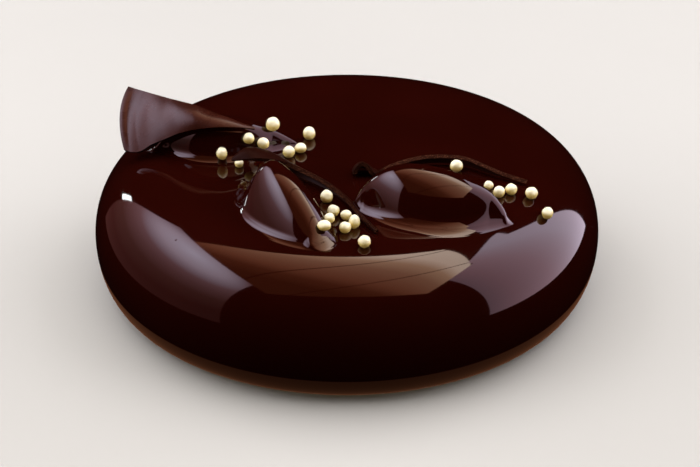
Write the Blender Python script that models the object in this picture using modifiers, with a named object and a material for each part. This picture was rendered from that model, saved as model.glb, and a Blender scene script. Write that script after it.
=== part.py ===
"""A round chocolate mousse cake under a mirror glaze.

Three glazed quenelles lie on the flat top. A cupped petal of tempered chocolate
stands behind each one, and small crunchy pearls are scattered between them.
The origin is the centre of the cake's base, with +Z up and -Y to the front.
"""

import math

import bmesh
import bpy
from mathutils import Vector

MM = 0.001

# Driving dimensions of the cake, in metres.
CAKE_RADIUS = 91.0 * MM
CAKE_HEIGHT = 47.0 * MM
FLAT_RADIUS = 63.0 * MM      # the flat top, inside the rounded shoulder
WIDEST_HEIGHT = 19.0 * MM    # where the wall stands upright, above the tuck
FOOT_RADIUS = 81.5 * MM
SHOULDER_POWER = 2.1         # 2 would be a quarter ellipse
TURN_STEPS = 96
SHOULDER_STEPS = 12
TUCK_STEPS = 6

TOUCH_GAP = 0.3 * MM         # between pieces that rest on each other
PEARL_SINK = 0.25 * MM       # how far a pearl is pressed into the glaze
PETAL_COLUMNS = 30
PETAL_ROWS = 6
FULL_CUP_WIDTH = 8.0 * MM    # a petal narrower than this is cupped less

THIN_RIM = 0.2 * MM          # thickness left at a quenelle's rim
QUENELLE_SEGMENTS = 42
QUENELLE_RINGS = 20

# Each quenelle: its two ends in plan, half width, crest height, how pointed its first
# and second ends are, how far its middle bows sideways, where along it the crest is
# highest (-1 to 1) and how far off the middle of its width (as a share of the width).
# The glaze runs up onto it in round fillets: their radii at its two sides and its two
# ends, and how steep it gets above them. The nub is what the spoon drew out at its
# second end, by its radius.
QUENELLES = {
    "quenelle_left": dict(
        start=(-73.4, 4.4), end=(-16.6, 6.3), half_width=13.4, height=12.4,
        points=(1.08, 1.14), bow=-2.35, crest=-0.03, lean=-0.13,
        side_fillets=(4.0, 2.1), end_fillets=(8.1, 2.0), side_slope=74.5, end_slope=41.0, nub=0.0,
    ),
    "quenelle_front": dict(
        start=(-36.7, -21.2), end=(-4.7, -69.3), half_width=14.0, height=16.0,
        points=(1.17, 0.67), bow=-1.9, crest=-0.22, lean=0.16,
        side_fillets=(4.7, 3.7), end_fillets=(18.9, 7.5), side_slope=53.5, end_slope=44.5, nub=0.0,
    ),
    "quenelle_right": dict(
        start=(1.4, -38.6), end=(55.3, -49.4), half_width=15.4, height=15.6,
        points=(0.62, 0.95), bow=-2.5, crest=-0.24, lean=0.26,
        side_fillets=(7.0, 4.9), end_fillets=(0.8, 2.8), side_slope=58.8, end_slope=64.3, nub=0.0,
    ),
}

# Each petal: points that its foot and its free edge run through, how far it is cupped,
# how far its broad end bows outwards, and its thickness, in millimetres.
PETALS = {
    "petal_left": dict(
        foot=(
            (-79.2, -0.8, 48.1), (-76.4, -1.9, 47.9), (-72.8, -3.4, 49.0), (-68.9, -3.5, 51.6),
            (-63.5, -3.6, 54.1), (-58.4, -4.2, 56.6), (-51.9, -4.9, 58.5), (-45.5, -5.5, 59.3),
            (-38.9, -4.3, 58.7), (-32.6, -2.5, 57.2),
        ),
        edge=(
            (-79.3, 20.6, 63.0), (-72.9, 16.0, 63.2), (-64.7, 9.9, 63.5), (-53.7, 2.8, 63.6),
            (-48.4, 1.5, 61.8), (-41.2, -1.2, 60.2), (-35.9, -2.2, 58.4), (-32.6, -2.3, 57.4),
        ),
        cup=1.4, end_bow=2.1, thickness=1.3,
    ),
    "petal_front": dict(
        foot=(
            (-39.2, -18.7, 53.6), (-34.5, -13.0, 53.6), (-29.0, -10.8, 50.6),
            (-23.5, -15.5, 48.1), (-17.5, -21.3, 48.1), (-7.4, -30.6, 48.1),
            (-0.3, -40.3, 48.1), (4.8, -51.7, 48.0), (9.2, -59.8, 48.0),
        ),
        edge=(
            (-39.5, -19.5, 53.2), (-36.7, -20.2, 53.9), (-31.5, -21.5, 54.8),
            (-26.3, -21.8, 54.5), (-20.2, -20.6, 52.3), (-14.5, -24.1, 51.4),
            (-7.6, -30.8, 50.8), (-0.6, -40.2, 49.6), (4.7, -51.9, 48.9),
            (9.6, -60.4, 48.3),
        ),
        cup=-2.2, end_bow=0.0, thickness=1.5,
    ),
    "petal_right": dict(
        foot=(
            (2.7, -19.0, 48.0), (2.6, -16.0, 47.9), (5.0, -13.2, 47.9), (8.0, -14.5, 47.9),
            (11.0, -18.0, 47.9), (19.0, -13.3, 47.9), (27.0, -10.6, 47.9), (35.0, -10.4, 47.9),
            (40.2, -11.6, 47.9), (46.0, -15.6, 47.9), (53.5, -21.0, 47.9), (61.3, -25.4, 47.9),
        ),
        edge=(
            (3.0, -20.0, 48.4), (3.7, -20.0, 50.6), (5.6, -20.0, 52.3), (7.5, -20.0, 50.6),
            (9.6, -20.2, 48.2), (14.0, -16.8, 49.3), (19.0, -13.8, 49.9), (27.0, -11.2, 50.6),
            (35.0, -11.0, 50.8), (41.0, -12.4, 50.8), (46.0, -16.0, 50.4), (53.5, -21.4, 49.3),
            (61.6, -25.8, 48.4),
        ),
        cup=-0.8, end_bow=0.0, thickness=1.4,
    ),
}

# Pearls by what carries them: the plan position and the diameter of each, in millimetres.
PEARLS = {
    "cake": (
        (-13.7, 11.2, 4.7), (-20.6, -3.7, 4.4), (-16.5, -0.2, 4.0), (-37.8, -11.5, 3.2),
        (-26.2, -7, 3.2), (-6.7, -37.5, 4.4), (-4.4, -47.4, 4.1), (-0.2, -49.9, 3.6),
        (-0.5, -58.4, 3.9), (2.5, -55.1, 4.2), (5.7, -67.3, 4.1), (38.2, -14.8, 4.4),
        (48.4, -28.2, 3.2), (51.4, -33.8, 4.0), (55.7, -31.8, 3.9), (62.1, -33.1, 4.2),
        (66.4, -40.9, 4.1),
    ),
    "quenelle_left": (
        (-27.5, 3.2, 5.0), (-35.2, -2.9, 4.0), (-30.6, -1.4, 4.3), (-44, -6.6, 4.2),
    ),
    "quenelle_front": (
        (-6.8, -58.4, 3.5), (-7.9, -63, 3.9),
    ),
}

CHOCOLATE_GLAZE = dict(colour=(0.022, 0.0035, 0.0015), roughness=0.04, metallic=0.0)
TEMPERED_CHOCOLATE = dict(colour=(0.055, 0.019, 0.013), roughness=0.34, metallic=0.0)
CRUNCHY_PEARL = dict(colour=(0.78, 0.70, 0.50), roughness=0.3, metallic=0.0)


def material(name, colour, roughness, metallic):
    made = bpy.data.materials.new(name)
    made.use_nodes = True
    shader = made.node_tree.nodes["Principled BSDF"]
    shader.inputs["Base Color"].default_value = (*colour, 1.0)
    shader.inputs["Roughness"].default_value = roughness
    shader.inputs["Metallic"].default_value = metallic
    return made


def add_object(name, mesh, collection, finish):
    made = bpy.data.objects.new(name, mesh)
    collection.objects.link(made)
    mesh.materials.append(material(name, **finish))
    mesh.shade_smooth()
    return made


def cake_top(radius):
    """Height of the glazed top at this distance from the axis: flat, then the shoulder."""
    share = (radius - FLAT_RADIUS) / (CAKE_RADIUS - FLAT_RADIUS)
    share = min(max(share, 0.0), 1.0)
    drop = (1.0 - share**SHOULDER_POWER) ** (1.0 / SHOULDER_POWER)
    return WIDEST_HEIGHT + (CAKE_HEIGHT - WIDEST_HEIGHT) * drop


def cake_profile():
    """Outer side of the turned cake as (radius, height), from the top's middle to the base's."""
    points = [(0.0, CAKE_HEIGHT), (FLAT_RADIUS, CAKE_HEIGHT)]
    for step in range(1, SHOULDER_STEPS + 1):
        angle = 0.5 * math.pi * step / SHOULDER_STEPS
        share = math.sin(angle) ** (2.0 / SHOULDER_POWER)
        radius = FLAT_RADIUS + (CAKE_RADIUS - FLAT_RADIUS) * share
        points.append((radius, cake_top(radius)))
    for step in range(1, TUCK_STEPS + 1):
        angle = 0.5 * math.pi * step / TUCK_STEPS
        radius = FOOT_RADIUS + (CAKE_RADIUS - FOOT_RADIUS) * math.cos(angle)
        points.append((radius, WIDEST_HEIGHT * (1.0 - math.sin(angle))))
    points.append((0.0, 0.0))
    return points


def applied(source, name):
    """A plain mesh of the object as its modifiers leave it."""
    graph = bpy.context.evaluated_depsgraph_get()
    mesh = bpy.data.meshes.new_from_object(source.evaluated_get(graph))
    mesh.name = name
    return mesh


def make_cake(collection):
    mesh = bpy.data.meshes.new("cake_profile")
    points = [(radius, 0.0, height) for radius, height in cake_profile()]
    mesh.from_pydata(points, [(i, i + 1) for i in range(len(points) - 1)], [])
    cake = add_object("cake", mesh, collection, CHOCOLATE_GLAZE)
    turn = cake.modifiers.new("turn", "SCREW")
    turn.steps = turn.render_steps = TURN_STEPS
    turn.use_merge_vertices = True
    turn.merge_threshold = 0.01 * MM
    return cake


def section(off, reach, height, fillet, slope):
    """Height at this distance from the crest of a dome that meets the cake in a round fillet.

    The dome is an ellipse, as steep as the slope where it passes into the fillet; reach is
    the distance from the crest to the fillet's outer edge.
    """
    if off >= reach:
        return 0.0
    fillet = min(fillet, 0.6 * reach / math.sin(slope), 0.5 * height / (1.0 - math.cos(slope)))
    joint = reach - fillet * math.sin(slope)
    if off > joint:
        return fillet - math.sqrt(max(fillet**2 - (reach - off) ** 2, 0.0))
    rise = height - fillet * (1.0 - math.cos(slope))
    steepness = max(math.tan(slope), 2.15 * rise / joint)
    sink = rise * rise / (steepness * joint - 2.0 * rise)
    radius = rise + sink
    round_off = 1.0 - off * off * steepness * sink / (radius * radius * joint)
    return height - radius + radius * math.sqrt(max(round_off, 0.0))


class Quenelle:
    """A spoon-shaped oval: where it lies, and how high its glaze stands at any place in plan."""

    def __init__(
        self, start, end, half_width, height, points, bow, crest, lean,
        side_fillets, end_fillets, side_slope, end_slope, nub,
    ):
        self.start = Vector(start) * MM
        self.end = Vector(end) * MM
        self.middle = (self.start + self.end) / 2
        self.half_length = (self.end - self.start).length / 2
        self.along = (self.end - self.start).normalized()
        self.across = Vector((-self.along.y, self.along.x))
        self.half_width = half_width * MM
        self.height = height * MM
        self.points = points
        self.bow = bow * MM
        self.crest = crest
        self.lean = lean
        self.side_fillets = [radius * MM for radius in side_fillets]
        self.end_fillets = [radius * MM for radius in end_fillets]
        self.side_slope = math.radians(side_slope)
        self.end_slope = math.radians(end_slope)
        self.nub = nub * MM

    def nub_disc(self, share):
        """1 over the middle of the nub, falling to 0 round its rim; 0 where there is none."""
        if not self.nub or share < 0.5:
            return 0.0
        off = (share - 1.0) * self.half_length / self.nub + 1.0
        return math.sqrt(max(1.0 - off * off, 0.0))

    def width(self, share):
        """Half width of the outline at this share of the half length."""
        pointed = self.points[0] if share < 0.0 else self.points[1]
        oval = self.half_width * max(1.0 - share * share, 0.0) ** pointed
        return max(oval, self.nub * self.nub_disc(share))

    def crest_at(self, share):
        """Height of the ridge at this share of the half length."""
        off = (share - self.crest) * self.half_length
        second = off > 0.0
        reach = self.half_length * (1.0 - self.crest if second else 1.0 + self.crest)
        ridge = section(abs(off), reach, self.height, self.end_fillets[second], self.end_slope)
        return max(ridge, 0.8 * self.nub * self.nub_disc(share))

    def rise(self, place):
        """Height of the quenelle over the cake's top at this place in plan."""
        offset = place - self.middle
        share = offset.dot(self.along) / self.half_length
        if abs(share) >= 1.0:
            return 0.0
        width = self.width(share)
        off = offset.dot(self.across) - self.bow * (1.0 - share * share) - self.lean * width
        second = off > 0.0
        reach = width * (1.0 - self.lean if second else 1.0 + self.lean)
        crest = self.crest_at(share)
        if min(reach, crest) < 1e-6:
            return 0.0
        return section(abs(off), reach, crest, self.side_fillets[second], self.side_slope)

    def place(self, x, y):
        """Plan position of a point of the unit disc laid over this quenelle."""
        rim = math.sqrt(max(1.0 - x * x, 0.0))
        side = y / rim * self.width(x) if rim > 1e-6 else 0.0
        side += self.bow * (1.0 - x * x)
        return self.middle + self.along * (x * self.half_length) + self.across * side


def surface_point(place, quenelle=None):
    """The glazed surface above a plan position, with a quenelle where one is given."""
    height = cake_top(place.length)
    if quenelle:
        height += TOUCH_GAP + quenelle.rise(place)
    return Vector((place.x, place.y, height))


def surface_normal(place, quenelle=None, step=0.2 * MM):
    right = surface_point(place + Vector((step, 0.0)), quenelle)
    left = surface_point(place - Vector((step, 0.0)), quenelle)
    back = surface_point(place + Vector((0.0, step)), quenelle)
    front = surface_point(place - Vector((0.0, step)), quenelle)
    return (right - left).cross(back - front).normalized()


def make_quenelle(name, quenelle, collection):
    """A unit sphere whose upper half becomes the dome and whose lower half lies on the cake."""
    shape = bmesh.new()
    bmesh.ops.create_uvsphere(
        shape, u_segments=QUENELLE_SEGMENTS, v_segments=QUENELLE_RINGS, radius=1.0
    )
    for vert in shape.verts:
        place = quenelle.place(vert.co.x, vert.co.y)
        point = surface_point(place)
        point.z += TOUCH_GAP
        if vert.co.z > 1e-4:
            point.z += max(quenelle.rise(place), THIN_RIM)
        vert.co = point
    mesh = bpy.data.meshes.new(name)
    shape.to_mesh(mesh)
    shape.free()
    return add_object(name, mesh, collection, CHOCOLATE_GLAZE)


def spline(points, share):
    """Point at this share of the length of a smooth curve through all the points."""
    points = [Vector(point) * MM for point in points]
    spans = [(far - near).length for near, far in zip(points, points[1:])]
    travel = share * sum(spans)
    index = 0
    while index < len(spans) - 1 and travel > spans[index]:
        travel -= spans[index]
        index += 1
    near, far = points[index], points[index + 1]
    before, after = points[max(index - 1, 0)], points[min(index + 2, len(points) - 1)]
    span = spans[index]
    leave = (far - before).normalized() * span
    arrive = (after - near).normalized() * span
    t = travel / span
    return (
        near * (1.0 - 3.0 * t**2 + 2.0 * t**3)
        + leave * (t - 2.0 * t**2 + t**3)
        + far * (3.0 * t**2 - 2.0 * t**3)
        + arrive * (t**3 - t**2)
    )


def make_petal(name, foot, edge, cup, end_bow, thickness, collection):
    """A thin sheet between two guide curves, cupped across, with half its thickness each side."""
    shape = bmesh.new()
    bmesh.ops.create_grid(shape, x_segments=PETAL_COLUMNS, y_segments=PETAL_ROWS, size=1.0)
    for vert in shape.verts:
        along = 0.5 + 0.5 * vert.co.x
        across = 0.5 + 0.5 * vert.co.y
        low, high = spline(foot, along), spline(edge, along)
        step = 0.01 if along < 0.5 else -0.01
        run = (spline(foot, along + step) - low) * math.copysign(1.0, step)
        chord = high - low
        out = run.cross(chord).normalized()
        arch = 4.0 * across * (1.0 - across)
        bulge = cup * MM * arch * min(1.0, chord.length / FULL_CUP_WIDTH)
        bow = run.normalized() * (end_bow * MM * arch * (1.0 - along) ** 2)
        vert.co = low.lerp(high, across) + out * bulge - bow
    mesh = bpy.data.meshes.new(name)
    shape.to_mesh(mesh)
    shape.free()
    petal = add_object(name, mesh, collection, TEMPERED_CHOCOLATE)
    shell = petal.modifiers.new("thickness", "SOLIDIFY")
    shell.thickness = thickness * MM
    shell.offset = 0.0
    return petal


def make_pearl(index, point, normal, radius, collection):
    shape = bmesh.new()
    bmesh.ops.create_icosphere(shape, subdivisions=2, radius=radius)
    mesh = bpy.data.meshes.new("pearl")
    shape.to_mesh(mesh)
    shape.free()
    pearl = add_object(f"pearl_{index}", mesh, collection, CRUNCHY_PEARL)
    pearl.location = point + normal * (radius - PEARL_SINK)
    return pearl


def fuse_pearls(carrier, places, quenelle=None):
    """Joins the pearls that lie on the cake, or on a quenelle, to it with one Boolean union."""
    pearls = bpy.data.collections.new("pearls")
    bpy.context.scene.collection.children.link(pearls)
    for index, (x, y, diameter) in enumerate(places):
        place = Vector((x, y)) * MM
        point, normal = surface_point(place, quenelle), surface_normal(place, quenelle)
        make_pearl(index, point, normal, diameter / 2 * MM, pearls)
    join = carrier.modifiers.new("pearls", "BOOLEAN")
    join.operation = "UNION"
    join.operand_type = "COLLECTION"
    join.collection = pearls
    join.solver = "EXACT"
    bpy.context.view_layer.update()
    mesh = applied(carrier, carrier.name)
    carrier.modifiers.clear()
    carrier.data = mesh
    for pearl in list(pearls.objects):
        bpy.data.objects.remove(pearl)
    bpy.data.collections.remove(pearls)


def main():
    for old in list(bpy.data.objects):
        bpy.data.objects.remove(old)
    parts = bpy.data.collections.new("chocolate_cake")
    bpy.context.scene.collection.children.link(parts)
    cake = make_cake(parts)
    fuse_pearls(cake, PEARLS["cake"])
    for name, facts in QUENELLES.items():
        quenelle = Quenelle(**facts)
        made = make_quenelle(name, quenelle, parts)
        if name in PEARLS:
            fuse_pearls(made, PEARLS[name], quenelle)
    for name, facts in PETALS.items():
        make_petal(name, collection=parts, **facts)


main()
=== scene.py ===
"""Looks of a round chocolate mousse cake under a mirror glaze.

The glaze, the three quenelles, the chocolate petals and the crunchy pearls are made
again here at a fine resolution, from the same named sizes as the solids, and each
takes the place of its solid. +Z is up and -Y is the front; lengths are in metres.
"""

import math

import bmesh
import bpy
import numpy as np
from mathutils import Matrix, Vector, noise


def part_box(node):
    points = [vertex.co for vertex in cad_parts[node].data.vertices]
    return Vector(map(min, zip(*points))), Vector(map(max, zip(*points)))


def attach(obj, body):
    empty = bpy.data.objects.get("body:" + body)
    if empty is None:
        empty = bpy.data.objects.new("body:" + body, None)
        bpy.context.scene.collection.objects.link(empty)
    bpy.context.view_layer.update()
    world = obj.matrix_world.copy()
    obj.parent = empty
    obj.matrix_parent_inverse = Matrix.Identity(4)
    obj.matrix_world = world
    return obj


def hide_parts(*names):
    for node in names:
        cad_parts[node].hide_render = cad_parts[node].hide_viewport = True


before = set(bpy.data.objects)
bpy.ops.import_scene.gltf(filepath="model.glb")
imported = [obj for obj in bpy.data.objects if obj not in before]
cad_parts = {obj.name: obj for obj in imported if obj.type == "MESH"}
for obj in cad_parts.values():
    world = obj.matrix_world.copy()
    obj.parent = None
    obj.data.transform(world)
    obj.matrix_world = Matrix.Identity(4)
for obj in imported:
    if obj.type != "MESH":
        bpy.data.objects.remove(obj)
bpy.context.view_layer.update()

MM = 0.001
BODY = "root"

# Camera: where it stands, how far it looks down, and its lens and sensor in millimetres.
CAMERA_PLACE = (1.1 * MM, -499.25 * MM, 292.57 * MM)
CAMERA_PITCH = math.radians(29.182)
CAMERA_LENS = 80.02
CAMERA_SENSOR = 36.0

# The cake's turned body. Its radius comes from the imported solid.
CAKE_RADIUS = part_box("cake")[1][0]
CAKE_HEIGHT = 47.0 * MM
FLAT_RADIUS = 63.0 * MM      # the flat top, inside the rounded shoulder
WIDEST_HEIGHT = 19.0 * MM    # where the wall stands upright, above the tuck
FOOT_RADIUS = 81.5 * MM
SHOULDER_POWER = 2.1         # 2 would be a quarter ellipse
TURN_STEPS = 384
SHOULDER_STEPS = 72
TUCK_STEPS = 24
TOP_RINGS = 12
MERGE_REACH = 0.01 * MM      # points of the turned body closer than this become one

TOUCH_GAP = 0.3 * MM         # how far the solids stay apart where they rest on each other
PEARL_SINK = 0.25 * MM       # how far a pearl is pressed into the glaze
FULL_CUP_WIDTH = 8.0 * MM    # a petal narrower than this is cupped less

QUENELLE_SEGMENTS = 192
QUENELLE_RINGS = 96
RIM_SINK = 0.05 * MM         # a quenelle's rim dips this far under the cake's glaze
UNDER_SINK = 4.0 * RIM_SINK  # and its underside lies this far under it
FILLET_SHARES = (0.6, 0.5)   # the most that a fillet takes of a dome's reach and height
LEAST_STEEPNESS = 2.15       # of a dome's foot, times its height over its reach; a parabola has 2
TINY = 1e-7                  # keeps a division from being by 0
THIN = 1e-6                  # what is thinner than this counts as nothing

# Each quenelle, in millimetres and degrees: its two ends in plan, half width, crest height,
# how pointed its first and second ends are, how far its middle bows sideways, where along
# it the crest is highest (-1 to 1) and how far off the middle of its width (as a share of
# the half width). The glaze runs up onto it in round fillets: their radii at its two sides
# and its two ends, and how steep it gets above them.
QUENELLES = {
    "quenelle_left": dict(
        start=(-73.4, 4.4), end=(-16.6, 6.3), half_width=13.4, height=12.4,
        points=(1.08, 1.14), bow=-2.35, crest=-0.03, lean=-0.13,
        side_fillets=(4.0, 2.1), end_fillets=(8.1, 2.0), side_slope=74.5, end_slope=41.0,
    ),
    "quenelle_front": dict(
        start=(-36.7, -21.2), end=(-4.7, -69.3), half_width=14.0, height=16.0,
        points=(1.17, 0.67), bow=-1.9, crest=-0.22, lean=0.16,
        side_fillets=(4.7, 3.7), end_fillets=(18.9, 7.5), side_slope=53.5, end_slope=44.5,
    ),
    "quenelle_right": dict(
        start=(1.4, -38.6), end=(55.3, -49.4), half_width=15.4, height=15.6,
        points=(0.62, 0.95), bow=-2.5, crest=-0.24, lean=0.26,
        side_fillets=(7.0, 4.9), end_fillets=(0.8, 2.8), side_slope=58.8, end_slope=64.3,
    ),
}

# Each petal: points that its foot and its free edge run through, how far it is cupped,
# how far its broad end bows outwards, and its thickness, in millimetres.
PETALS = {
    "petal_left": dict(
        foot=(
            (-79.2, -0.8, 48.1), (-76.4, -1.9, 47.9), (-72.8, -3.4, 49.0), (-68.9, -3.5, 51.6),
            (-63.5, -3.6, 54.1), (-58.4, -4.2, 56.6), (-51.9, -4.9, 58.5), (-45.5, -5.5, 59.3),
            (-38.9, -4.3, 58.7), (-32.6, -2.5, 57.2),
        ),
        edge=(
            (-79.3, 20.6, 63.0), (-72.9, 16.0, 63.2), (-64.7, 9.9, 63.5), (-53.7, 2.8, 63.6),
            (-48.4, 1.5, 61.8), (-41.2, -1.2, 60.2), (-35.9, -2.2, 58.4), (-32.6, -2.3, 57.4),
        ),
        cup=1.4, end_bow=2.1, thickness=1.3,
    ),
    "petal_front": dict(
        foot=(
            (-39.2, -18.7, 53.6), (-34.5, -13.0, 53.6), (-29.0, -10.8, 50.6),
            (-23.5, -15.5, 48.1), (-17.5, -21.3, 48.1), (-7.4, -30.6, 48.1),
            (-0.3, -40.3, 48.1), (4.8, -51.7, 48.0), (9.2, -59.8, 48.0),
        ),
        edge=(
            (-39.5, -19.5, 53.2), (-36.7, -20.2, 53.9), (-31.5, -21.5, 54.8),
            (-26.3, -21.8, 54.5), (-20.2, -20.6, 52.3), (-14.5, -24.1, 51.4),
            (-7.6, -30.8, 50.8), (-0.6, -40.2, 49.6), (4.7, -51.9, 48.9),
            (9.6, -60.4, 48.3),
        ),
        cup=-2.2, end_bow=0.0, thickness=1.5,
    ),
    "petal_right": dict(
        foot=(
            (2.7, -19.0, 48.0), (2.6, -16.0, 47.9), (5.0, -13.2, 47.9), (8.0, -14.5, 47.9),
            (11.0, -18.0, 47.9), (19.0, -13.3, 47.9), (27.0, -10.6, 47.9), (35.0, -10.4, 47.9),
            (40.2, -11.6, 47.9), (46.0, -15.6, 47.9), (53.5, -21.0, 47.9), (61.3, -25.4, 47.9),
        ),
        edge=(
            (3.0, -20.0, 48.4), (3.7, -20.0, 50.6), (5.6, -20.0, 52.3), (7.5, -20.0, 50.6),
            (9.6, -20.2, 48.2), (14.0, -16.8, 49.3), (19.0, -13.8, 49.9), (27.0, -11.2, 50.6),
            (35.0, -11.0, 50.8), (41.0, -12.4, 50.8), (46.0, -16.0, 50.4), (53.5, -21.4, 49.3),
            (61.6, -25.8, 48.4),
        ),
        cup=-0.8, end_bow=0.0, thickness=1.4,
    ),
}

# Pearls by what carries them, where None is the cake's own top: the plan position and the
# diameter of each, in millimetres, and how tall it is to its width.
PEARLS = {
    None: (
        (-13.7, 11.2, 4.7, 1.1), (-20.6, -3.7, 4.4, 1), (-16.5, -0.2, 4.0, 0.85),
        (-37.8, -11.5, 3.2, 1), (-26.2, -7, 3.2, 1), (-6.7, -37.5, 4.4, 1.08),
        (-4.4, -47.4, 4.1, 0.98), (-0.2, -49.9, 3.6, 0.9), (-0.5, -58.4, 3.9, 0.95),
        (2.5, -55.1, 4.2, 1.3), (5.7, -67.3, 4.1, 0.98), (38.2, -14.8, 4.4, 0.97),
        (48.4, -28.2, 3.2, 1), (51.4, -33.8, 4.0, 1), (55.7, -31.8, 3.9, 1.02),
        (62.1, -33.1, 4.2, 0.98), (66.4, -40.9, 4.1, 1.13),
    ),
    "quenelle_left": (
        (-27.5, 3.2, 5.0, 1), (-35.2, -2.9, 4.0, 0.96), (-30.6, -1.4, 4.3, 0.93),
        (-44, -6.6, 4.2, 1.2),
    ),
    "quenelle_front": (
        (-6.8, -58.4, 3.5, 1.05), (-7.9, -63, 3.9, 0.78),
    ),
}
PEARL_ROUNDS = 48            # points round a pearl
PEARL_SEED = 7
PEARL_STRETCH = 0.02         # how much a pearl's width, depth and height vary
PEARL_BUMPS = 0.09           # how uneven it is, as a share of its radius
PEARL_BUMP_SCALE = 1.2       # waves of that unevenness to the radius
NOISE_REACH = 40.0           # how far into the noise a pearl's own part of it may lie

CUT_RIM = "cut_rim"          # the petals' cut rims, as an attribute of their faces
PETAL_COLUMNS = 220
PETAL_ROWS = 36
PETAL_SHARP = math.radians(50)       # a petal's edges sharper than this are shaded sharp
NO_AREA = 1e-12              # keeps a normal's division from being by 0


# Shapes

def cake_top(radius):
    """Height of the glazed top at this distance from the axis: flat, then the shoulder."""
    share = np.clip((radius - FLAT_RADIUS) / (CAKE_RADIUS - FLAT_RADIUS), 0.0, 1.0)
    drop = (1.0 - share**SHOULDER_POWER) ** (1.0 / SHOULDER_POWER)
    return WIDEST_HEIGHT + (CAKE_HEIGHT - WIDEST_HEIGHT) * drop


def section(off, reach, height, fillet, slope):
    """Height at this distance from the crest of a dome that meets the cake in a round fillet.

    The dome is an ellipse, as steep as the slope where it passes into the fillet; reach is
    the distance from the crest to the fillet's outer edge.
    """
    reach, height = np.maximum(reach, TINY), np.maximum(height, TINY)
    fillet = np.minimum(fillet, FILLET_SHARES[0] * reach / math.sin(slope))
    fillet = np.minimum(fillet, FILLET_SHARES[1] * height / (1.0 - math.cos(slope)))
    joint = reach - fillet * math.sin(slope)
    run_up = fillet - np.sqrt(np.maximum(fillet**2 - (reach - off) ** 2, 0.0))
    rise = height - fillet * (1.0 - math.cos(slope))
    steepness = np.maximum(math.tan(slope), LEAST_STEEPNESS * rise / joint)
    sink = rise * rise / (steepness * joint - 2.0 * rise)
    radius = rise + sink
    round_off = 1.0 - off * off * steepness * sink / (radius * radius * joint)
    dome = height - radius + radius * np.sqrt(np.maximum(round_off, 0.0))
    return np.where(off > joint, run_up, dome) * (off < reach)


class Quenelle:
    """A spoon-shaped oval: where it lies, and how high its glaze stands at any place in plan."""

    def __init__(
        self, start, end, half_width, height, points, bow, crest, lean,
        side_fillets, end_fillets, side_slope, end_slope,
    ):
        start, end = np.array(start) * MM, np.array(end) * MM
        self.middle = (start + end) / 2
        self.half_length = np.linalg.norm(end - start) / 2
        self.along = (end - start) / (2 * self.half_length)
        self.across = np.array((-self.along[1], self.along[0]))
        self.half_width = half_width * MM
        self.height = height * MM
        self.points = points
        self.bow = bow * MM
        self.crest = crest
        self.lean = lean
        self.side_fillets = [radius * MM for radius in side_fillets]
        self.end_fillets = [radius * MM for radius in end_fillets]
        self.side_slope = math.radians(side_slope)
        self.end_slope = math.radians(end_slope)

    def width(self, share):
        """Half width of the outline at this share of the half length."""
        pointed = np.where(share < 0.0, *self.points)
        return self.half_width * np.maximum(1.0 - share * share, 0.0) ** pointed

    def crest_at(self, share):
        """Height of the ridge at this share of the half length."""
        off = (share - self.crest) * self.half_length
        reach = self.half_length * np.where(off > 0.0, 1.0 - self.crest, 1.0 + self.crest)
        fillet = np.where(off > 0.0, self.end_fillets[1], self.end_fillets[0])
        return section(np.abs(off), reach, self.height, fillet, self.end_slope)

    def rise(self, place):
        """Height of the quenelle over the cake's top at these places in plan."""
        offset = place - self.middle
        share = offset @ self.along / self.half_length
        width = self.width(share)
        off = offset @ self.across - self.bow * (1.0 - share * share) - self.lean * width
        reach = width * np.where(off > 0.0, 1.0 - self.lean, 1.0 + self.lean)
        crest = self.crest_at(share)
        fillet = np.where(off > 0.0, self.side_fillets[1], self.side_fillets[0])
        rise = section(np.abs(off), reach, crest, fillet, self.side_slope)
        return np.where((np.abs(share) < 1.0) & (np.minimum(reach, crest) > THIN), rise, 0.0)

    def place(self, x, y):
        """Plan positions of points of the unit disc laid over this quenelle."""
        rim = np.sqrt(np.maximum(1.0 - x * x, 0.0))
        side = np.where(rim > THIN, y / np.maximum(rim, THIN) * self.width(x), 0.0)
        side = side + self.bow * (1.0 - x * x)
        lengthwise = self.along * (x * self.half_length)[..., None]
        return self.middle + lengthwise + self.across * side[..., None]


def lift(rise):
    """The gap that the solid leaves under a quenelle, taken in gradually from the rim."""
    return TOUCH_GAP * np.clip(rise / MM, 0.0, 1.0)


def surface_point(place, quenelle=None):
    """The glazed surface above plan positions, with a quenelle where one is given."""
    height = cake_top(np.linalg.norm(place, axis=-1))
    if quenelle:
        rise = quenelle.rise(place)
        height = height + rise + lift(rise)
    return np.concatenate([place, height[..., None]], axis=-1)


def surface_normal(place, quenelle=None, step=0.2 * MM):
    """The direction straight out of the glazed surface, from points a step away."""
    right, left, back, front = (
        surface_point(place + np.array(shift) * step, quenelle)
        for shift in ((1, 0), (-1, 0), (0, 1), (0, -1))
    )
    normal = np.cross(right - left, back - front)
    return normal / np.linalg.norm(normal)


def grid_faces(rows, columns, first=0):
    """Quads between rows of points, each row closed into a ring."""
    row, column = np.meshgrid(np.arange(rows - 1), np.arange(columns), indexing="ij")
    after = (column + 1) % columns
    near, far = first + row * columns, first + (row + 1) * columns
    corners = [near + column, far + column, far + after, near + after]
    return np.stack(corners, -1).reshape(-1, 4).tolist()


def make_piece(name, points, faces, material, smooth=True):
    mesh = bpy.data.meshes.new(name)
    mesh.from_pydata([tuple(point) for point in points], [], faces)
    mesh.validate()
    if smooth:
        mesh.shade_smooth()
    made = bpy.data.objects.new(name, mesh)
    bpy.context.scene.collection.objects.link(made)
    mesh.materials.append(material)
    return made


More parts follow.
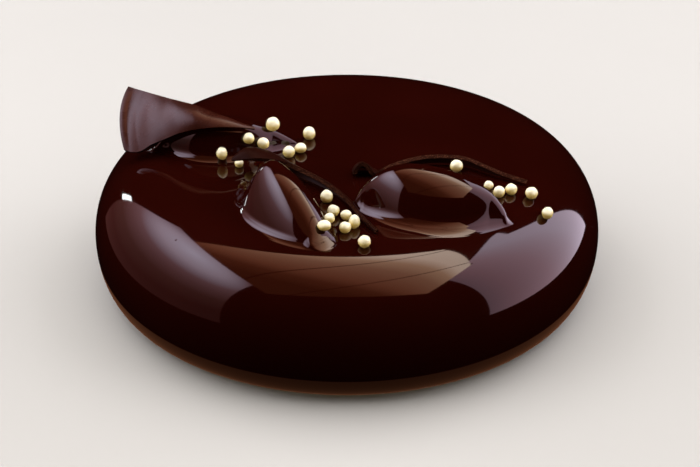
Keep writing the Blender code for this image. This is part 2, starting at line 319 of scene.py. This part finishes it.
def cake_profile():
    """The turned cake's profile as (radius, height), from the top's middle to the base's."""
    points = [(FLAT_RADIUS * step / TOP_RINGS, CAKE_HEIGHT) for step in range(TOP_RINGS + 1)]
    for step in range(1, SHOULDER_STEPS + 1):
        angle = 0.5 * math.pi * step / SHOULDER_STEPS
        share = math.sin(angle) ** (2.0 / SHOULDER_POWER)
        radius = FLAT_RADIUS + (CAKE_RADIUS - FLAT_RADIUS) * share
        points.append((radius, float(cake_top(radius))))
    for step in range(1, TUCK_STEPS + 1):
        angle = 0.5 * math.pi * step / TUCK_STEPS
        radius = FOOT_RADIUS + (CAKE_RADIUS - FOOT_RADIUS) * math.cos(angle)
        points.append((radius, WIDEST_HEIGHT * (1.0 - math.sin(angle))))
    points.append((0.0, 0.0))
    return points


def make_cake(material):
    """The cake's profile turned once round its axis."""
    points = [(radius, 0.0, height) for radius, height in cake_profile()]
    mesh = bpy.data.meshes.new("glazed_cake")
    mesh.from_pydata(points, [(i, i + 1) for i in range(len(points) - 1)], [])
    cake = bpy.data.objects.new("glazed_cake", mesh)
    bpy.context.scene.collection.objects.link(cake)
    mesh.materials.append(material)
    turn = cake.modifiers.new("turn", "SCREW")
    turn.steps = turn.render_steps = TURN_STEPS
    turn.use_merge_vertices = True
    turn.merge_threshold = MERGE_REACH
    turn.use_smooth_shade = True
    return cake


def make_quenelle(name, quenelle, material):
    """Rings of the unit disc laid over the quenelle, with an underside just inside the cake."""
    ring = np.sin(0.5 * math.pi * np.arange(1, QUENELLE_RINGS + 1) / QUENELLE_RINGS)
    turn = 2.0 * math.pi * np.arange(QUENELLE_SEGMENTS) / QUENELLE_SEGMENTS
    x, y = np.outer(ring, np.cos(turn)), np.outer(ring, np.sin(turn))
    place = quenelle.place(x.ravel(), y.ravel())
    rise = quenelle.rise(place)
    top = surface_point(place, quenelle)
    top[:, 2] -= RIM_SINK * np.clip(1.0 - rise / RIM_SINK, 0.0, 1.0)
    middle = surface_point(quenelle.place(np.zeros(1), np.zeros(1)), quenelle)
    bottom = surface_point(place)
    bottom[:, 2] -= UNDER_SINK
    under = surface_point(quenelle.place(np.zeros(1), np.zeros(1)))
    under[:, 2] -= UNDER_SINK
    count = len(top)
    points = np.concatenate([middle, top, bottom[::-1], under])
    faces = grid_faces(QUENELLE_RINGS, QUENELLE_SEGMENTS, first=1)
    faces += [[0, 1 + i, 1 + (i + 1) % QUENELLE_SEGMENTS] for i in range(QUENELLE_SEGMENTS)]
    last = 2 * count + 1
    step = QUENELLE_SEGMENTS
    for row in range(QUENELLE_RINGS - 1):
        for i in range(step):
            after = (i + 1) % step
            near, far = last - 1 - row * step, last - 1 - (row + 1) * step
            faces.append([near - i, near - after, far - after, far - i])
    faces += [[last, last - 1 - (i + 1) % step, last - 1 - i] for i in range(step)]
    rim_top, rim_under = 1 + count - step, last - 1 - (QUENELLE_RINGS - 1) * step
    for i in range(step):
        after = (i + 1) % step
        faces.append([rim_top + i, rim_under - i, rim_under - after, rim_top + after])
    return make_piece(name, points, faces, material)


def spline(points, share):
    """Point at this share of the length of a smooth curve through all the points."""
    points = [Vector(point) * MM for point in points]
    spans = [(far - near).length for near, far in zip(points, points[1:])]
    travel = share * sum(spans)
    index = 0
    while index < len(spans) - 1 and travel > spans[index]:
        travel -= spans[index]
        index += 1
    near, far = points[index], points[index + 1]
    before, after = points[max(index - 1, 0)], points[min(index + 2, len(points) - 1)]
    span = spans[index]
    leave = (far - before).normalized() * span
    arrive = (after - near).normalized() * span
    t = travel / span
    return (
        near * (1.0 - 3.0 * t**2 + 2.0 * t**3)
        + leave * (t - 2.0 * t**2 + t**3)
        + far * (3.0 * t**2 - 2.0 * t**3)
        + arrive * (t**3 - t**2)
    )


def petal_sheet(foot, edge, cup, end_bow):
    """Middle surface of a petal as a grid of points, and its normals."""
    rows = []
    for column in range(PETAL_COLUMNS + 1):
        along = column / PETAL_COLUMNS
        low, high = spline(foot, along), spline(edge, along)
        step = 0.01 if along < 0.5 else -0.01
        run = (spline(foot, along + step) - low) * math.copysign(1.0, step)
        chord = high - low
        out = run.cross(chord).normalized()
        line = []
        for row in range(PETAL_ROWS + 1):
            across = row / PETAL_ROWS
            arch = 4.0 * across * (1.0 - across)
            bulge = cup * MM * arch * min(1.0, chord.length / FULL_CUP_WIDTH)
            bow = run.normalized() * (end_bow * MM * arch * (1.0 - along) ** 2)
            line.append(low.lerp(high, across) + out * bulge - bow)
        rows.append(line)
    sheet = np.array(rows)
    normal = np.cross(np.gradient(sheet, axis=0), np.gradient(sheet, axis=1))
    return sheet, normal / np.maximum(np.linalg.norm(normal, axis=-1, keepdims=True), NO_AREA)


def make_petal(name, foot, edge, cup, end_bow, thickness, material):
    """A thin sheet's two sides, cut rims and cut ends; CUT_RIM marks all but the sides."""
    sheet, normal = petal_sheet(foot, edge, cup, end_bow)
    half = 0.5 * thickness * MM
    outer, inner = sheet + normal * half, sheet - normal * half
    rings = np.concatenate([outer, inner[:, ::-1]], axis=1)
    columns, around = rings.shape[:2]
    points = rings.reshape(-1, 3)
    faces = [face[::-1] for face in grid_faces(columns, around)]
    round_faces = len(faces)
    for first, flip in ((0, 1), ((columns - 1) * around, -1)):
        for row in range(PETAL_ROWS):
            near, far = first + row, first + around - 1 - row
            faces.append([near, near + 1, far - 1, far][::flip])
    piece = make_piece(name, points, faces, material)
    piece.data.set_sharp_from_angle(angle=PETAL_SHARP)
    rim = piece.data.attributes.new(CUT_RIM, "FLOAT", "FACE")
    cut = np.zeros(len(faces), dtype=np.float32)
    cut[:round_faces].reshape(-1, around)[:, PETAL_ROWS::PETAL_ROWS + 1] = 1.0
    cut[round_faces:] = 1.0
    rim.data.foreach_set("value", cut)
    return piece


def make_pearls(material):
    """All the pearls in one mesh, each a slightly uneven ball pressed into what carries it."""
    draw = np.random.default_rng(PEARL_SEED)
    latitude = math.pi * np.arange(1, PEARL_ROUNDS // 2) / (PEARL_ROUNDS // 2)
    longitude = 2.0 * math.pi * np.arange(PEARL_ROUNDS) / PEARL_ROUNDS
    ball = np.stack([
        np.outer(np.sin(latitude), np.cos(longitude)),
        np.outer(np.sin(latitude), np.sin(longitude)),
        np.outer(np.cos(latitude), np.ones(PEARL_ROUNDS)),
    ], -1).reshape(-1, 3)
    ball = np.concatenate([ball, [(0.0, 0.0, 1.0), (0.0, 0.0, -1.0)]])
    rounds = len(latitude)
    ball_faces = grid_faces(rounds, PEARL_ROUNDS)
    top, bottom = len(ball) - 2, len(ball) - 1
    low = (rounds - 1) * PEARL_ROUNDS
    for i in range(PEARL_ROUNDS):
        after = (i + 1) % PEARL_ROUNDS
        ball_faces.append([top, i, after])
        ball_faces.append([bottom, low + after, low + i])
    points, faces = [], []
    for carrier, places in PEARLS.items():
        quenelle = Quenelle(**QUENELLES[carrier]) if carrier else None
        for x, y, diameter, tall in places:
            place = np.array((x, y)) * MM
            radius = 0.5 * diameter * MM
            normal = surface_normal(place, quenelle)
            centre = surface_point(place, quenelle) + normal * (radius - PEARL_SINK)
            varied = 1.0 + draw.uniform(-PEARL_STRETCH, PEARL_STRETCH, 3)
            stretch = np.array((tall**-0.5, 1.0, tall**0.5)) * varied
            shift = Vector(draw.uniform(0.0, NOISE_REACH, 3))
            uneven = [noise.noise(Vector(point) * PEARL_BUMP_SCALE + shift) for point in ball]
            bumps = PEARL_BUMPS * np.array(uneven)[:, None]
            first = sum(len(part) for part in points)
            points.append(centre + ball * stretch * radius * (1.0 + bumps))
            faces += [[first + i for i in face] for face in ball_faces]
    return make_piece("crunchy_pearls", np.concatenate(points), faces, material)


# Materials

CLOUD_STOPS = (0.3, 0.7)     # the range where most of a noise lies
GLAZE_COLOURS = ((0.0118, 0.0010, 0.0004), (0.0150, 0.0013, 0.0006))
BUBBLE_EDGE = (0.012, 0.03)  # how far from its middle a pit's side starts and ends, in cells
CRUMB_STOPS = (0.50, 0.72)   # the range of the grain over which crumbs turn paler
GLOSS_SPREAD = 0.04          # how much the chocolate's roughness varies
RIM_ROUGHNESS = 0.8
FACE_SHINE, RIM_SHINE = 0.5, 0.08    # specular levels of a petal's sides and of its cuts
IVORY = ((0.96, 0.90, 0.66), (0.99, 0.94, 0.74))
# painted bounce light: the deeper yellow mixed into a pearl where its surface faces down
PAINTED_BOUNCE_YELLOW = ((0.80, 0.62, 0.20), (0.88, 0.72, 0.28))
IVORY_TILT = 0.55            # how far up a pearl's surface faces where it is all ivory


def new_material(name):
    made = bpy.data.materials.new(name)
    made.use_nodes = True
    tree = made.node_tree
    return made, tree, tree.nodes["Principled BSDF"]


def own_place(tree):
    """Where a point lies in the object's own coordinates."""
    return tree.nodes.new("ShaderNodeTexCoord").outputs["Object"]


def length_of(tree, vector):
    made = tree.nodes.new("ShaderNodeVectorMath")
    made.operation = "LENGTH"
    tree.links.new(vector, made.inputs[0])
    return made.outputs["Value"]


def noise_of(tree, scale, detail=2.0):
    """Noise over the object's own coordinates; scale is in waves to the metre."""
    made = tree.nodes.new("ShaderNodeTexNoise")
    made.inputs["Scale"].default_value = scale
    made.inputs["Detail"].default_value = detail
    tree.links.new(own_place(tree), made.inputs["Vector"])
    return made.outputs["Fac"]


def ramp(tree, source, *stops):
    """Colours or grey values along a 0 to 1 input, by two or more (position, value) stops."""
    made = tree.nodes.new("ShaderNodeValToRGB")
    elements = made.color_ramp.elements
    while len(elements) < len(stops):
        elements.new(0.5)
    for element, (position, value) in zip(elements, stops):
        element.position = position
        element.color = (*value, 1.0) if isinstance(value, tuple) else (value, value, value, 1.0)
    tree.links.new(source, made.inputs["Fac"])
    return made.outputs["Color"]


def cloudy(tree, cloud, low, high):
    """From one value or colour to the other, over the range where most of a noise lies."""
    start, end = CLOUD_STOPS
    return ramp(tree, cloud, (start, low), (end, high))


def bump(tree, shader, source, distance, previous=None):
    """Raises the shader's surface by the source, on top of a previous bump where given."""
    made = tree.nodes.new("ShaderNodeBump")
    made.inputs["Strength"].default_value = 1.0
    made.inputs["Distance"].default_value = distance
    tree.links.new(source, made.inputs["Height"])
    if previous:
        tree.links.new(previous, made.inputs["Normal"])
    tree.links.new(made.outputs["Normal"], shader.inputs["Normal"])
    return made.outputs["Normal"]


def mix_values(tree, kind, share, first, second):
    """A mix node's result; the second input may be a socket, a number or a colour."""
    made = tree.nodes.new("ShaderNodeMix")
    made.data_type = kind
    near, far = [socket for socket in made.inputs if socket.enabled and socket.name in "AB"]
    tree.links.new(share, made.inputs["Factor"])
    tree.links.new(first, near)
    if isinstance(second, (float, tuple)):
        far.default_value = second
    else:
        tree.links.new(second, far)
    return next(socket for socket in made.outputs if socket.enabled)


def glaze_material():
    """Cocoa mirror glaze: nearly black red-brown under a wet, slightly wavy gloss."""
    made, tree, shader = new_material("mirror_glaze")
    shader.inputs["IOR"].default_value = 1.48
    cloud = noise_of(tree, scale=28.0, detail=4.0)
    tree.links.new(cloudy(tree, cloud, *GLAZE_COLOURS), shader.inputs["Base Color"])
    tree.links.new(cloudy(tree, cloud, low=0.035, high=0.06), shader.inputs["Roughness"])
    waves = bump(tree, shader, noise_of(tree, scale=22.0, detail=1.0), distance=0.05 * MM)
    bubbles = tree.nodes.new("ShaderNodeTexVoronoi")
    bubbles.inputs["Scale"].default_value = 75.0
    tree.links.new(own_place(tree), bubbles.inputs["Vector"])
    start, end = BUBBLE_EDGE
    pits = ramp(tree, bubbles.outputs["Distance"], (start, 0.0), (end, 1.0))
    bump(tree, shader, pits, distance=0.06 * MM, previous=waves)
    return made


def chocolate_material(name, ior, gloss, faces, crumbs):
    """Tempered dark chocolate with fine grain.

    Its faces and the crumbs of its cut rims each vary between two colours.
    """
    made, tree, shader = new_material(name)
    shader.inputs["IOR"].default_value = ior
    cloud = noise_of(tree, scale=160.0, detail=5.0)
    grain = noise_of(tree, scale=2600.0, detail=3.0)
    rim = tree.nodes.new("ShaderNodeAttribute")
    rim.attribute_name = CUT_RIM
    face = cloudy(tree, cloud, *faces)
    crumb = ramp(tree, grain, *zip(CRUMB_STOPS, crumbs))
    colour = mix_values(tree, "RGBA", rim.outputs["Fac"], face, crumb)
    tree.links.new(colour, shader.inputs["Base Color"])
    face_rough = cloudy(tree, cloud, gloss - GLOSS_SPREAD, gloss + GLOSS_SPREAD)
    rough = mix_values(tree, "FLOAT", rim.outputs["Fac"], face_rough, RIM_ROUGHNESS)
    tree.links.new(rough, shader.inputs["Roughness"])
    shine = ramp(tree, rim.outputs["Fac"], (0.0, FACE_SHINE), (1.0, RIM_SHINE))
    tree.links.new(shine, shader.inputs["Specular IOR Level"])
    fine = bump(tree, shader, grain, distance=0.012 * MM)
    bump(tree, shader, noise_of(tree, scale=110.0), distance=0.08 * MM, previous=fine)
    return made


def pearl_material():
    """Ivory cocoa-butter shell with a pearly gloss, and a deeper yellow painted where it faces
    down: painted warm bounce light from below.
    """
    made, tree, shader = new_material("pearl_shell")
    cloud = noise_of(tree, scale=420.0, detail=4.0)
    ivory, painted_bounce = cloudy(tree, cloud, *IVORY), cloudy(tree, cloud, *PAINTED_BOUNCE_YELLOW)
    # Painted bounce light: the colour turns from ivory to the painted yellow as the surface faces
    # down.
    facing = tree.nodes.new("ShaderNodeNewGeometry")
    upwards = tree.nodes.new("ShaderNodeSeparateXYZ")
    tree.links.new(facing.outputs["Normal"], upwards.inputs["Vector"])
    share = ramp(tree, upwards.outputs["Z"], (0.0, 0.0), (IVORY_TILT, 1.0))
    colour = mix_values(tree, "RGBA", share, painted_bounce, ivory)
    tree.links.new(colour, shader.inputs["Base Color"])
    tree.links.new(ramp(tree, cloud, (0.2, 0.20), (0.8, 0.32)), shader.inputs["Roughness"])
    bump(tree, shader, noise_of(tree, scale=900.0, detail=3.0), distance=0.05 * MM)
    return made


# Studio

TENT = 0.7                   # half width of the light tent round the cake
TENT_HEIGHT = 1.4 * TENT     # where its ceiling hangs
SEAM_TURN = math.radians(35.6)       # how far the ceiling's seams turn from the X axis
SEAMS = (-0.57 * TENT, 0.10 * TENT)  # how far the seams lie from the ceiling's middle
SEAM_GAP = 0.006             # half the width of a seam
CEILING_FRONT, CEILING_BACK = -1.18 * TENT, 0.52 * TENT
CEILING_CORNER = (0.58 * TENT, 0.38 * TENT, 0.0)     # on the edge that cuts off a corner
CEILING_CORNER_OUT = (0.774, 0.633, 0.0)     # the direction outwards over that edge
BEYOND = 3.0 * TENT          # past the ceiling's outline, before it is cut
BACKGROUND = (0.80, 0.79, 0.77)      # what the camera sees past the floor
DARK_TINT, DARK_STRENGTH = (0.9, 0.75, 0.7), 0.002   # and what every other ray meets
FLOOR_COLOURS = ((0.465, 0.462, 0.465), (0.485, 0.482, 0.485))
FLOOR_REACH = 6.0
FLOOR_FADE = (0.40, 0.80)    # how far from the cake's axis the floor's fade starts and ends
UNDER_RADIUS = 0.0945        # of the dim glow that the tucked foot mirrors
UNDER_BROWN, UNDER_STRENGTH = (0.9, 0.34, 0.16), 0.2
LAMP_BLUE, WHITE = (0.8, 0.95, 1.0), (1.0, 1.0, 1.0)
BACKWARDS = (0.0, 1.0, 0.0)  # a metre towards the back, for what is graded that way


def emitter(name, strength, *stops, middle=(0.0, 0.0, 0.0), fade=None, along=None):
    """Light that is graded over a card, by colour stops that share its strength.

    The stops run outwards from the middle, over the distances that fade gives for each
    axis, or from the middle along a direction, whose length is the run of the stops.
    """
    made = bpy.data.materials.new(name)
    made.use_nodes = True
    tree = made.node_tree
    tree.nodes.clear()
    shift = tree.nodes.new("ShaderNodeVectorMath")
    shift.operation = "SUBTRACT"
    shift.inputs[1].default_value = middle
    tree.links.new(own_place(tree), shift.inputs[0])
    scale = tree.nodes.new("ShaderNodeVectorMath")
    tree.links.new(shift.outputs["Vector"], scale.inputs[0])
    if fade:
        scale.operation = "MULTIPLY"
        scale.inputs[1].default_value = [1.0 / reach for reach in fade]
        share = length_of(tree, scale.outputs["Vector"])
    else:
        scale.operation = "DOT_PRODUCT"
        scale.inputs[1].default_value = Vector(along) / Vector(along).length_squared
        share = scale.outputs["Value"]
    glow = tree.nodes.new("ShaderNodeEmission")
    glow.inputs["Strength"].default_value = strength
    tree.links.new(ramp(tree, share, *stops), glow.inputs["Color"])
    out = tree.nodes.new("ShaderNodeOutputMaterial")
    tree.links.new(glow.outputs["Emission"], out.inputs["Surface"])
    return made


def show_in_reflections(card):
    card.visible_camera = card.visible_diffuse = card.visible_shadow = False
    card.visible_transmission = card.visible_volume_scatter = False


def make_card(name, corners, material):
    """A flat card with this outline that shows only in reflections."""
    outline = list(range(len(corners)))
    show_in_reflections(make_piece(name, corners, [outline], material, smooth=False))


def side_card(name, material, side, front, back, low, high):
    """An upright card at the tent's left (-1) or right (1) side."""
    x = side * TENT
    corners = [(x, front, low), (x, back, low), (x, back, high), (x, front, high)]
    make_card(name, corners, material)


def make_ceiling(material):
    """Overhead panels that meet in thin dark seams, cut to the ceiling's outline."""
    seam = Vector((math.cos(SEAM_TURN), math.sin(SEAM_TURN)))
    across = Vector((-seam.y, seam.x))
    edges = [-BEYOND, *SEAMS, BEYOND]
    shape = bmesh.new()
    for low, high in zip(edges, edges[1:]):
        near, far = across * (low + SEAM_GAP), across * (high - SEAM_GAP)
        run = seam * BEYOND
        corners = [near - run, near + run, far + run, far - run]
        shape.faces.new([shape.verts.new((*corner, TENT_HEIGHT)) for corner in corners])
    limits = (
        ((-TENT, 0.0, 0.0), (-1.0, 0.0, 0.0)),
        ((TENT, 0.0, 0.0), (1.0, 0.0, 0.0)),
        ((0.0, CEILING_BACK, 0.0), (0.0, 1.0, 0.0)),
        ((0.0, CEILING_FRONT, 0.0), (0.0, -1.0, 0.0)),
        (CEILING_CORNER, CEILING_CORNER_OUT),
    )
    for place, outwards in limits:
        everything = shape.verts[:] + shape.edges[:] + shape.faces[:]
        bmesh.ops.bisect_plane(
            shape, geom=everything, plane_co=place, plane_no=outwards, clear_outer=True,
        )
    mesh = bpy.data.meshes.new("card_ceiling")
    shape.to_mesh(mesh)
    shape.free()
    mesh.materials.append(material)
    card = bpy.data.objects.new("card_ceiling", mesh)
    bpy.context.scene.collection.objects.link(card)
    show_in_reflections(card)


def make_under_glow():
    """A dim brown from below, so that the tucked foot doesn't mirror pure black."""
    stops = ((0.0, UNDER_BROWN), (1.0, WHITE))
    glow = emitter("dim_under", UNDER_STRENGTH, *stops, along=BACKWARDS)
    turns = [2.0 * math.pi * step / TURN_STEPS for step in range(TURN_STEPS)]
    outline = [(UNDER_RADIUS * math.cos(turn), UNDER_RADIUS * math.sin(turn)) for turn in turns]
    make_card("card_under", [(x, y, -MM) for x, y in outline], glow)


def make_light(name, place, width, height, energy, colour):
    """A soft lamp aimed at the cake's top, which shows in no reflection."""
    data = bpy.data.lights.new(name, "AREA")
    data.shape = "RECTANGLE"
    data.size, data.size_y = width, height
    data.energy = energy
    data.color = colour
    light = bpy.data.objects.new(name, data)
    light.location = place
    aim = Vector((0.0, 0.0, CAKE_HEIGHT)) - Vector(place)
    light.rotation_euler = aim.to_track_quat("-Z", "Y").to_euler()
    light.visible_glossy = False
    bpy.context.scene.collection.objects.link(light)


def make_floor():
    """A pale floor that fades into the background's own tone away from the cake."""
    made, tree, shader = new_material("pale_floor")
    colour = cloudy(tree, noise_of(tree, scale=3.0, detail=3.0), *FLOOR_COLOURS)
    start, end = FLOOR_FADE
    fade = ramp(tree, length_of(tree, own_place(tree)), (start, 0.0), (end, 1.0))
    black = (0.0, 0.0, 0.0, 1.0)
    tree.links.new(mix_values(tree, "RGBA", fade, colour, black), shader.inputs["Base Color"])
    shader.inputs["Emission Color"].default_value = (*BACKGROUND, 1.0)
    tree.links.new(fade, shader.inputs["Emission Strength"])
    shader.inputs["Roughness"].default_value = 0.9
    shader.inputs["Specular IOR Level"].default_value = 0.0
    turns = ((-1, -1), (1, -1), (1, 1), (-1, 1))
    corners = [(x * FLOOR_REACH, y * FLOOR_REACH, 0.0) for x, y in turns]
    floor = make_piece("floor", corners, [[0, 1, 2, 3]], made, smooth=False)
    floor.visible_glossy = floor.visible_diffuse = False


def make_world():
    """Pale where the camera looks past the floor, and dark to every reflection."""
    world = bpy.data.worlds.new("studio")
    world.use_nodes = True
    bpy.context.scene.world = world
    tree = world.node_tree
    tree.nodes.clear()
    path = tree.nodes.new("ShaderNodeLightPath")
    mix = tree.nodes.new("ShaderNodeMixShader")
    out = tree.nodes.new("ShaderNodeOutputWorld")
    shades = ((DARK_TINT, DARK_STRENGTH), (BACKGROUND, 1.0))
    for slot_index, (colour, strength) in enumerate(shades, 1):
        shade = tree.nodes.new("ShaderNodeBackground")
        shade.inputs["Color"].default_value = (*colour, 1.0)
        shade.inputs["Strength"].default_value = strength
        tree.links.new(shade.outputs["Background"], mix.inputs[slot_index])
    tree.links.new(path.outputs["Is Camera Ray"], mix.inputs["Fac"])
    tree.links.new(mix.outputs["Shader"], out.inputs["Surface"])


def make_studio():
    make_floor()
    make_world()
    left_box = emitter(
        "soft_box_left", 6.0,
        (0.0, (0.88, 0.78, 0.97)), (0.25, (0.62, 0.49, 0.60)), (0.375, (0.36, 0.26, 0.32)),
        (0.45, (0.22, 0.12, 0.135)), (0.55, (0.15, 0.075, 0.08)), (0.70, (0.067, 0.03, 0.027)),
        (0.90, (0.037, 0.013, 0.012)),
        middle=(-TENT, 0.1 * TENT, 1.1 * TENT), fade=(TENT, 2.2 * TENT, 1.2 * TENT),
    )
    side_card(
        "card_left", left_box, side=-1,
        front=-0.81 * TENT, back=0.90 * TENT, low=-0.16 * TENT, high=TENT_HEIGHT,
    )
    right_box = emitter(
        "soft_box_right", 4.0,
        (0.0, (0.38, 0.24, 0.29)), (0.23, (0.55, 0.32, 0.38)), (0.55, (0.73, 0.47, 0.56)),
        (0.95, (0.92, 0.76, 0.93)),
        middle=(TENT, -0.6 * TENT, 0.0), along=(0.0, 1.1 * TENT, 0.0),
    )
    side_card(
        "card_right", right_box, side=1,
        front=-0.62 * TENT, back=0.72 * TENT, low=-0.09 * TENT, high=TENT_HEIGHT,
    )
    # The right soft box reaches higher than the ceiling. The outline of its top, as (y, z)
    # in shares of TENT, is read from its reflection.
    top_outline = (
        (-0.08, 1.40), (-0.08, 1.54), (0.33, 1.64), (0.60, 1.72), (0.90, 1.78),
        (1.04, 1.75), (0.72, 1.40),
    )
    make_card("card_right_top", [(TENT, y * TENT, z * TENT) for y, z in top_outline], right_box)
    lamp = emitter("bare_lamp", 14.0, (0.0, LAMP_BLUE), (1.0, WHITE), along=BACKWARDS)
    side_card(
        "card_lamp", lamp, side=-1,
        front=0.90 * TENT, back=1.0 * TENT, low=0.34 * TENT, high=0.56 * TENT,
    )
    ceiling = emitter(
        "warm_ceiling", 7.5,
        (0.0, (0.04, 0.012, 0.005)), (0.21, (0.085, 0.026, 0.012)), (0.36, (0.2, 0.07, 0.037)),
        (0.50, (0.265, 0.11, 0.063)), (0.64, (0.34, 0.165, 0.1)), (0.79, (0.56, 0.33, 0.21)),
        (0.90, (0.92, 0.68, 0.54)), (1.0, (0.93, 0.72, 0.58)),
        middle=(-0.56 * TENT, -0.56 * TENT, TENT_HEIGHT), along=(0.98 * TENT, 0.98 * TENT, 0.0),
    )
    make_ceiling(ceiling)
    make_under_glow()
    for name, x in (("light_left", -TENT), ("light_right", TENT)):
        make_light(
            name, place=(x, 0.15, 0.5), width=1.1, height=0.9,
            energy=9.6, colour=(1.0, 0.96, 0.94),
        )
    make_light(
        "light_fill", place=(0.0, -TENT, 0.22), width=1.2, height=0.4,
        energy=1.3, colour=(1.0, 0.82, 0.50),
    )
    make_light(
        "light_top", place=(0.0, 0.15, TENT_HEIGHT), width=1.2, height=1.2,
        energy=11.0, colour=(1.0, 0.95, 0.88),
    )


def make_camera():
    camera = bpy.data.objects.new("camera", bpy.data.cameras.new("camera"))
    camera.data.lens = CAMERA_LENS
    camera.data.sensor_width = CAMERA_SENSOR
    camera.location = CAMERA_PLACE
    camera.rotation_euler = (0.5 * math.pi - CAMERA_PITCH, 0.0, 0.0)
    bpy.context.scene.collection.objects.link(camera)
    bpy.context.scene.camera = camera


def carry(piece, slot, *nodes):
    """Puts a piece in the place of its solids; the slot is not used."""
    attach(piece, BODY)
    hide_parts(*nodes)


def main():
    bpy.context.scene.view_settings.view_transform = "Standard"
    make_camera()
    make_studio()
    glaze, shell = glaze_material(), pearl_material()
    silky = chocolate_material(
        "silky_chocolate", ior=1.38, gloss=0.27,
        faces=((0.022, 0.0040, 0.0022), (0.031, 0.0062, 0.0034)),
        crumbs=((0.004, 0.001, 0.0006), (0.010, 0.003, 0.002)),
    )
    matt = chocolate_material(
        "matt_chocolate", ior=1.10, gloss=0.34,
        faces=((0.010, 0.0020, 0.0012), (0.015, 0.0032, 0.0019)),
        crumbs=((0.016, 0.0040, 0.0024), (0.13, 0.048, 0.028)),
    )
    carry(make_cake(glaze), "glaze", "cake")
    for name, facts in QUENELLES.items():
        piece = make_quenelle("glazed_" + name, Quenelle(**facts), glaze)
        carry(piece, "glaze", name)
    for name, facts in PETALS.items():
        chocolate = silky if name == "petal_left" else matt
        piece = make_petal("carved_" + name, material=chocolate, **facts)
        carry(piece, "chocolate", name)
    carry(make_pearls(shell), "pearls", "cake", "quenelle_left", "quenelle_front")


main()
